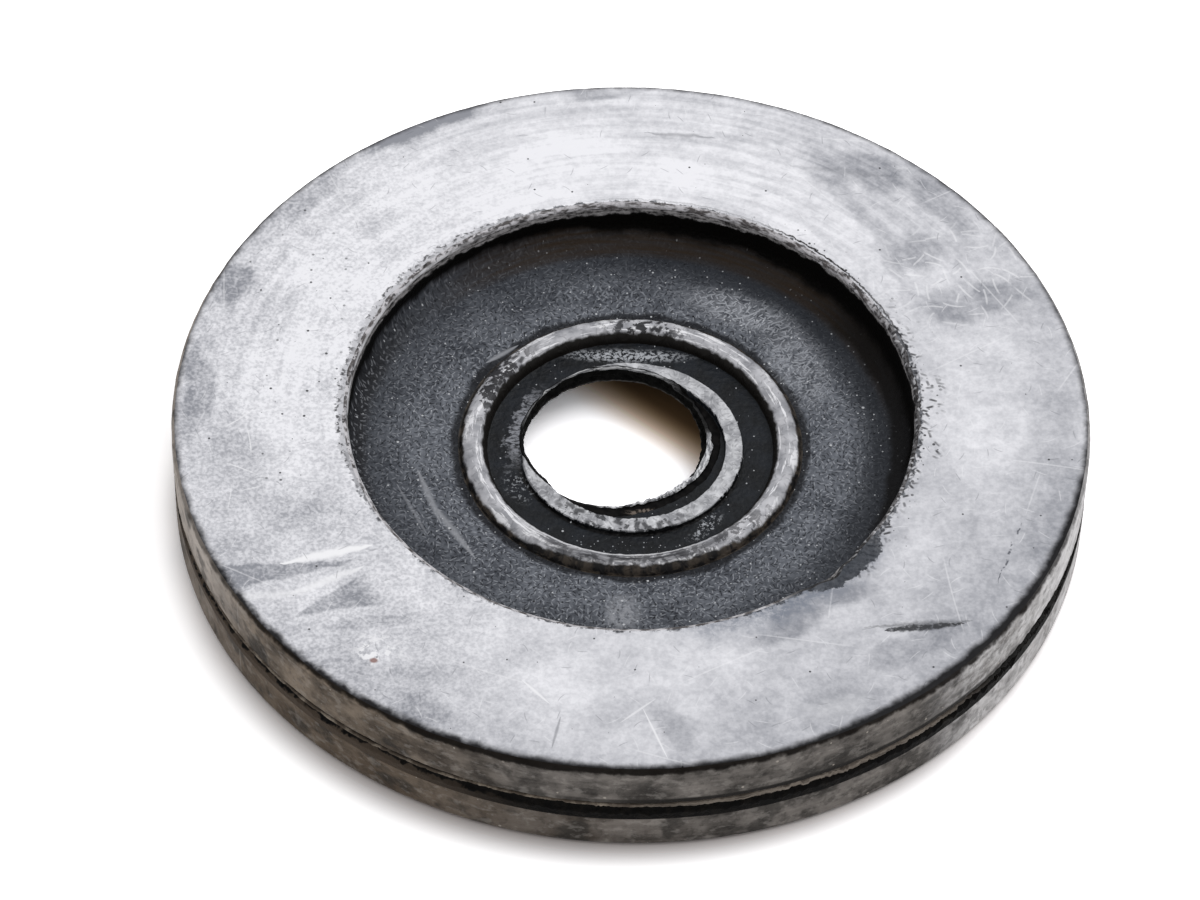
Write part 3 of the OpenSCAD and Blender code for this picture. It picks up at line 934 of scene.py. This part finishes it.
gash = f.most(f.stroke((16.2, -18.3), (21.2, -17.65), 0.3, 0.95, 0.6, jagged),
              f.stroke((14.9, -18.1), (21.8, -17.4), 0.22, 0.5, 1.0, jagged))
gash = f.times(gash, f.cloud(0.4, 57, 3, 0.65, 0.25, 0.5, (0.35, 1.0)))
f.paint((40, 42, 46), gash)
flecks = f.most(f.specks(0.5, 0.24, 0.7, 11),
                f.scratches(0.6, 0.7, 0.13, 0.7, 51, 0.3, math.radians(30), 0.9))
beside_lip = f.times(f.sector(-10, 36, 12),
                     f.ramp(f.total(f.r, f.cloud(2.0, 52, 3, levels=(-0.8, 0.8))), 20.5, 19.3))
fine_bits = f.times(f.specks(0.6, 0.2, 0.3, 17), f.times(f.sector(38, 24, 10), f.ramp(f.r, 20.6, 19.6)))
flecks = f.most(f.times(flecks, beside_lip), fine_bits)
pits = f.times(f.specks(1.1, 0.2, 0.4, 12), f.patch((-21.6, 3.0), (5.0, 24.0), -4, 1.0, 0.4, ragged))
pits = f.most(pits, f.specks(2.6, 0.16, 0.35, 13))
f.paint((34, 34, 38), f.times(f.most(flecks, pits), 0.9))
f.paint((122, 62, 44), f.patch((-15.9, -21.6), (0.5, 0.4), 0, 0.8, 0.4))
# where the lip is eaten back, at the front right, right and back left, and the seam along it
lip_shake = f.cloud(0.6, 53, 3, 0.7, 0.25, 0.75, (-0.24, 0.24))
left_lip = f.sector(158, 42, 14)
notch = f.sector(-43, 7.5, 3.5)
eaten = f.total(f.r, lip_shake, f.times(notch, -0.95), f.sector(-50, 14, 8, -0.22),
                f.sector(15, 7, 5, -0.2), f.sector(-8, 32, 8, -0.22), f.times(left_lip, -0.45))
eaten = f.ramp(eaten, 18.9, 18.7)
left_flecks = f.flip(f.times(f.cloud(0.35, 54, 2, 0.6, 0.5, 0.54), f.ramp(f.r, 18.9, 19.15, 0.35, 1.0)))
right_shade = f.blend((34, 36, 40), (104, 107, 113), f.cloud(0.4, 55, 3, 0.7, 0.4, 0.6))
right_shade = f.blend(right_shade, (50, 54, 60), f.times(notch, 0.8))
torn_ticks = f.times(f.scratches(0.5, 0.55, 0.1, 0.95, 82, 0.4), f.sector(-2, 28, 8, 0.85))
right_shade = f.blend(right_shade, (204, 204, 209), torn_ticks)
eaten_shade = f.blend(right_shade, f.blend((52, 52, 55), (198, 198, 203), left_flecks), left_lip)
f.paint(eaten_shade, f.times(eaten, 0.9))
seam = f.times(f.between(f.total(f.r, f.times(lip_shake, 0.4)), 18.96, 19.08, 0.08),
               f.total(f.sector(38, 20, 8), f.sector(70, 26, 12, 0.35)))
f.paint((30, 28, 29), seam, 0.85)
# the black line of the worn outer corner
reach = f.total(f.sector(276, 60, 14, 0.12), f.sector(322, 22, 14, 0.3),
                f.cloud(1.0, 9, 3, 0.6, 0.25, 0.75, (-0.03, 0.16)))
reach = f.total(reach, f.times(f.sector(228, 24, 10), f.cloud(0.9, 70, 2, 0.6, 0.3, 0.7, (-0.02, 0.2))))
corner_line = f.ramp(f.total(f.r, reach), 29.4, 30.02)
f.paint((20, 19, 20), corner_line, 0.97)
matt = f.most(corner_line, eaten)
face_gloss = f.ramp(matt, 0.2, 0.8, 0.25, 0.03)
materials["face"] = f.cure(rough=0.5, height=fine, depth=0.02, gloss=face_gloss)

# The outer wall.
# Moulded in two halves that meet at a shallow channel, half-way up. It is grey-brown with old dirt and
# rubs,
# with painted light and shade: dark at the front, lit pale at the left and right. The channel is nearly
# black.

channel_z = ring_t / 2
channel_half = 0.54
channel_depth = 0.4
wall_relief = 0.02


def lay_wall(wall_z):
    """One ring of the outer wall, uneven by a hair."""
    lay(RIM_FINE, lambda turn: ring_r - wall_relief + wall_relief * uneven(turn, ring_r, 5, 100 + wall_z),
        wall_z, "wall")


for wall_z in (6.4, 5.5, 4.8):
    lay_wall(wall_z)
# the channel's section: height and depth as shares of its own, and how ragged it is torn there
channel_profile = [(1.0, 0.0, 0.04), (0.93, 0.12, 0.04), (0.72, 0.55, 0.02), (0.35, 0.9, 0.0),
                   (-0.1, 1.0, 0.0), (-0.6, 0.8, 0.06), (-0.88, 0.4, 0.12), (-1.0, 0.1, 0.15),
                   (-1.08, 0.0, 0.15)]


def channel_tear(turn, seed):
    """Ragged wander of the channel's edges, worst at the right."""
    return (0.7 + 1.4 * hump(turn, -24, 30)) * uneven(turn, ring_r, 0.5, seed, 3)


for height_share, depth_share, tear in channel_profile:
    seed = 110 if height_share > 0 else 112
    row_r = ring_r - wall_relief - channel_depth * depth_share
    row_z = channel_z + channel_half * height_share
    lay(RIM_FINE, lambda turn, row_r=row_r: row_r + wall_relief * uneven(turn, ring_r, 3, 105),
        lambda turn, row_z=row_z, tear=tear, seed=seed: row_z + tear * channel_tear(turn, seed), "channel")
for wall_z in (2.7, 1.6, 0.8):
    lay_wall(wall_z)

f = Finish("soiled_and_lit_wall")
broad = f.cloud(3.2, 30, 3, 0.5, 0.36, 0.64, stretch=(1, 1, 1.3))
fine = f.cloud(0.5, 31, 3, 0.6)
streaky = f.turned_cloud(5.0, 0.3, 32, 30)
level = f.total(f.times(broad, 0.64), f.times(fine, 0.18), f.times(streaky, 0.18))
# the ground, in painted light and shade: shaded dark at the front, lit pale at the left and right
shaded_front_wall = f.blend((42, 38, 35), (132, 126, 121), level)
shaded_front_wall = f.blend(shaded_front_wall, f.blend((58, 48, 39), (142, 128, 113), level), f.sector(220, 26, 14))
lit_left_wall = f.blend((122, 111, 101), (184, 174, 165), level)
lit_left_wall = f.blend(lit_left_wall, (208, 198, 190), f.ramp(f.z, 4.3, 5.2, 0.0, 0.5))
mottled = f.cloud(1.1, 76, 4, 0.65, 0.34, 0.66, stretch=(1, 1, 1.5))
right_level = f.total(f.times(mottled, 0.45), f.times(fine, 0.2), f.times(broad, 0.35))
lit_right_wall = f.blend((108, 104, 102), (232, 230, 231), right_level)
pale_foot = f.times(f.ramp(f.z, 3.6, 3.0, 0.0, 0.35), f.sector(330, 22, 12))
lit_right_wall = f.blend(lit_right_wall, (212, 209, 210), pale_foot)
# a painted highlight on the right, just above the channel
right_wall_highlight = f.times(f.ramp(f.z, 3.9, 4.6, 0.0, 0.5), f.sector(343, 8, 6))
lit_right_wall = f.blend(lit_right_wall, (238, 236, 238), right_wall_highlight)
f.ground(shaded_front_wall, lit_left_wall, f.sector(186, 24, 10))
f.paint(lit_right_wall, f.sector(351, 38, 6))
# brown foot, stains, smuts, rubs, chips and scores
brown_foot = f.times(f.sector(215, 45, 25), f.ramp(f.z, 4.0, 2.6))
f.paint((92, 78, 64), brown_foot, 0.6)
stains = f.times(f.cloud(2.2, 45, 3, 0.5, 0.52, 0.66, stretch=(1, 1, 1.2)), 0.7)
f.paint((42, 39, 36), f.times(stains, f.sector(220, 110, 20)))
flat_wall = f.unrolled(ring_r)
smuts = f.times(f.cloud(0.8, 77, 4, 0.66, 0.5, 0.62), f.total(f.sector(330, 50, 20, 0.1), 0.3))
f.paint((34, 31, 29), smuts)
rubs = f.times(f.cloud(0.9, 78, 3, 0.62, 0.52, 0.66, stretch=(1, 1, 1.6)), 0.16)
f.paint((198, 192, 186), rubs)
chips = f.specks(2.2, 0.2, 0.25, 14, flat_wall)
f.paint((186, 178, 168), chips, 0.7)
scored = f.times(f.scratches(3.0, 2.0, 0.05, 0.5, 33, 0.1), 0.3)
f.paint((190, 185, 180), scored)
# black under the top corner, painted shade above the fin, and black along the channel's torn edge and at
# the foot
corner_low = f.total(f.z, f.cloud(1.4, 46, 3, 0.6, levels=(-0.12, 0.12)), f.sector(264, 16, 10, 0.2))
corner = f.times(f.ramp(corner_low, 7.18, 7.46), f.total(f.sector(275, 66, 16, 0.5), 0.45))
f.paint((24, 21, 19), corner)
# painted shade along the top of the channel, above the fin, at the front right
shade_above_fin = f.times(f.between(f.z, 4.2, 4.68, 0.2), f.sector(-66, 28, 10))
f.paint((24, 20, 17), shade_above_fin)
torn_edge = f.total(f.z, f.cloud(0.5, 79, 2, 0.6, 0.3, 0.7, (-0.22, 0.22)))
torn_edge = f.times(f.between(torn_edge, 3.04, 3.6, 0.06), f.sector(-20, 34, 8))
f.paint((18, 16, 15), torn_edge, 0.95)
foot = f.ramp(f.z, 0.3, 0.08)
f.paint((46, 41, 37), foot, 0.8)
wall_gloss = f.ramp(corner, 0.2, 0.8, 0.15, 0.02)
materials["wall"] = f.cure(rough=0.5, height=fine, depth=0.03, gloss=wall_gloss)

f = Finish("parting_channel")
# painted shade: the channel is near black, as the shade in its recess under the fin
grime = f.cloud(0.6, 33, 4, 0.6, 0.4, 0.7)
f.ground((4, 3, 3), (20, 17, 14), grime)
slope = f.ramp(f.total(f.z, f.cloud(0.9, 34, 3, levels=(-0.12, 0.12))), 3.36, 3.27)
f.paint((84, 73, 63), f.times(slope, f.sector(220, 26, 14, 0.85)))
materials["channel"] = f.cure(rough=0.6, height=grime, depth=0.05, gloss=0.1)

# The flash.
# Thin fin of rubber squeezed out between the two halves of the mould and torn off by hand.
# It is part of the same moulding, and stands in the channel with a ragged, toothed edge.

FLASH_FINE = 2880
flash_turn = np.arange(FLASH_FINE) * 2 * math.pi / FLASH_FINE
flash_wander = 0.07 * uneven(flash_turn, ring_r, 9, 120, 3) + 0.035 * uneven(flash_turn, ring_r, 2, 121, 2)
flash_front = hump(flash_turn, -64, 24)
flash_right = hump(flash_turn, -14, 28)
flash_left = hump(flash_turn, 236, 40)
flash_mid_z = channel_z + 0.3 + flash_wander - 0.16 * flash_front - 0.84 * flash_right - 0.14 * flash_left
flash_heavy = 1 + 2.2 * flash_front - 0.2 * flash_right
teeth = np.clip(uneven(flash_turn, ring_r, 0.35, 122, 3), -1, 1)
long_tear = np.clip(uneven(flash_turn, ring_r, 2.2, 123, 3), -1, 1)
heavy = np.clip(hump(flash_turn, -28, 34) + 0.6 * hump(flash_turn, 200, 35), 0, 1)
tooth_size = 0.05 + 0.05 * heavy
flash_r = ring_r - 0.08 + 0.05 * heavy + tooth_size * teeth + 0.05 * long_tear + 0.06 * flash_left
flash_r = flash_r - (0.07 - 0.06 * teeth) * np.clip(1.4 * hump(flash_turn, -12, 30) - 0.2, 0, 1)
flash_r = np.minimum(flash_r, node_high[0] / MM)
# the fin's section, from its root to its torn edge and back: millimetres out, and up from its middle
flash_profile = [(-0.45, 0.1), (-0.22, 0.085), (-0.05, 0.06), (0.0, 0.0), (-0.05, -0.06),
                 (-0.22, -0.085), (-0.45, -0.1)]
flash_points = []
for inset, lift in flash_profile:
    r = np.where(inset < -0.3, ring_r + inset, flash_r + inset)
    z = flash_mid_z + lift * flash_heavy
    flash_points.append(np.stack([r * np.cos(flash_turn), r * np.sin(flash_turn), z], axis=1))
flash_faces = []
for row in range(len(flash_profile)):
    here = row * FLASH_FINE
    there = (row + 1) % len(flash_profile) * FLASH_FINE
    for i in range(FLASH_FINE):
        j = (i + 1) % FLASH_FINE
        flash_faces.append((here + i, here + j, there + j, there + i))
flash_mesh = bpy.data.meshes.new("parting_flash")
flash_mesh.from_pydata((np.concatenate(flash_points) * MM).tolist(), [], flash_faces)
flash_mesh.polygons.foreach_set("use_smooth", [True] * len(flash_faces))
flash_mesh.update()
flash_mesh.set_sharp_from_angle(angle=math.radians(50))
f = Finish("torn_flash")
grime = f.cloud(0.9, 40, 4, 0.6, 0.45, 0.7)
f.ground((84, 74, 64), (158, 146, 132), grime)
front_fin = f.sector(-64, 24, 10)
fin_streaks = f.turned_cloud(3.0, 0.2, 48, 30)
f.paint(f.blend((70, 62, 55), (138, 128, 118), fin_streaks), front_fin)
f.paint((12, 10, 9), f.sector(-12, 32, 8))
f.ground((12, 10, 9), f.colour, f.ramp(f.total(f.r, f.sector(236, 40, 20, -0.1)), 29.6, 29.8))
flash_mesh.materials.append(f.cure(rough=0.55, height=grime, depth=0.03))
flash = bpy.data.objects.new("parting_flash", flash_mesh)
bpy.context.collection.objects.link(flash)
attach(flash, "root")
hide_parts("grommet")

# The underside.
# The face that the ring rests on, rubbed like the top, and a plain well under the web.

UNDER_FINE = 432
under_fillet = 1.0
under_face_r = 24.0
under_web_r = 12.0
foot_land = 0.25
for step, angle in quarter(0, 4):
    lay(UNDER_FINE, ring_r - wall_relief - corner_round + corner_round * math.cos(angle),
        corner_round + corner_round * math.sin(angle), "wall" if step < 3 else "under")
lay(UNDER_FINE, under_face_r, 0.0, "under")
for step, angle in quarter(-math.pi / 2, 3):
    lay(UNDER_FINE, well_r + lip_round + lip_round * math.cos(angle),
        lip_round + lip_round * math.sin(angle), "under")
for step, angle in quarter(0, 5, way=1):
    lay(UNDER_FINE, well_r - under_fillet + under_fillet * math.cos(angle),
        under_web_z - under_fillet + under_fillet * math.sin(angle), "under_well")
lay(UNDER_FINE, under_web_r, under_web_z, "under_well")
lay(FINE, lambda turn: hole_foot_r(turn) + foot_land, under_web_z, "under_well")

f, level = rubbed_face("rubbed_underside")[:2]
f.ground((120, 121, 127), (214, 214, 219), level)
lines = f.most(f.times(f.scratches(5.0, 4.0, 0.06, 0.7, 41, 0.05), 0.5),
               f.times(f.scratches(2.0, 1.4, 0.05, 0.7, 42, 0.3), 0.4))
f.paint((232, 232, 236), lines)
f.paint((60, 60, 64), f.times(f.specks(2.0, 0.25, 0.3, 43), 0.7))
materials["under"] = f.cure(rough=0.6, height=level, depth=0.02)

f = Finish("under_web_skin")
haze = f.cloud(2.0, 35, 5)
drawn = f.turned_cloud(2.4, 0.15, 36, 12)
f.ground((44, 46, 51), (96, 98, 104), f.total(f.times(haze, 0.6), f.times(drawn, 0.4)))
f.paint((20, 18, 17), f.ramp(f.z, 2.0, 0.9))
materials["under_well"] = f.cure(rough=0.55, height=haze, depth=0.03)

# The moulding as one mesh.
# All rings are joined to the next, and the last to the first, so the solid closes on itself.

starts = np.cumsum([0] + [len(ring) for ring in rings]).tolist()
skin_order = list(dict.fromkeys(ring_skins))
faces = []
face_skins = []


def join(first, second, skin):
    """Faces between two rings, also where they have different numbers of points."""
    count_a, count_b = len(rings[first]), len(rings[second])
    start_a, start_b = starts[first], starts[second]
    i = 0
    j = 0
    while i < count_a or j < count_b:
        next_a = start_a + (i + 1) % count_a
        next_b = start_b + (j + 1) % count_b
        here_a = start_a + i % count_a
        here_b = start_b + j % count_b
        if count_a == count_b:
            faces.append((here_a, next_a, next_b, here_b))
            i += 1
            j += 1
        elif j >= count_b or (i < count_a and (i + 1) / count_a <= (j + 1) / count_b):
            faces.append((here_a, next_a, here_b))
            i += 1
        else:
            faces.append((here_a, next_b, here_b))
            j += 1
        face_skins.append(skin_order.index(skin))


for index, skin in enumerate(ring_skins):
    join(index, (index + 1) % len(rings), skin)
moulding_mesh = bpy.data.meshes.new("moulded_ring")
moulding_mesh.from_pydata((np.concatenate(rings) * MM).tolist(), [], faces)
moulding_mesh.polygons.foreach_set("material_index", face_skins)
moulding_mesh.polygons.foreach_set("use_smooth", [True] * len(faces))
moulding_mesh.update()
moulding_mesh.set_sharp_from_angle(angle=math.radians(38))
for skin in skin_order:
    moulding_mesh.materials.append(materials[skin])
moulding = bpy.data.objects.new("moulded_ring", moulding_mesh)
bpy.context.collection.objects.link(moulding)
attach(moulding, "root")
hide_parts("grommet")

bpy.context.scene.view_settings.view_transform = "Standard"
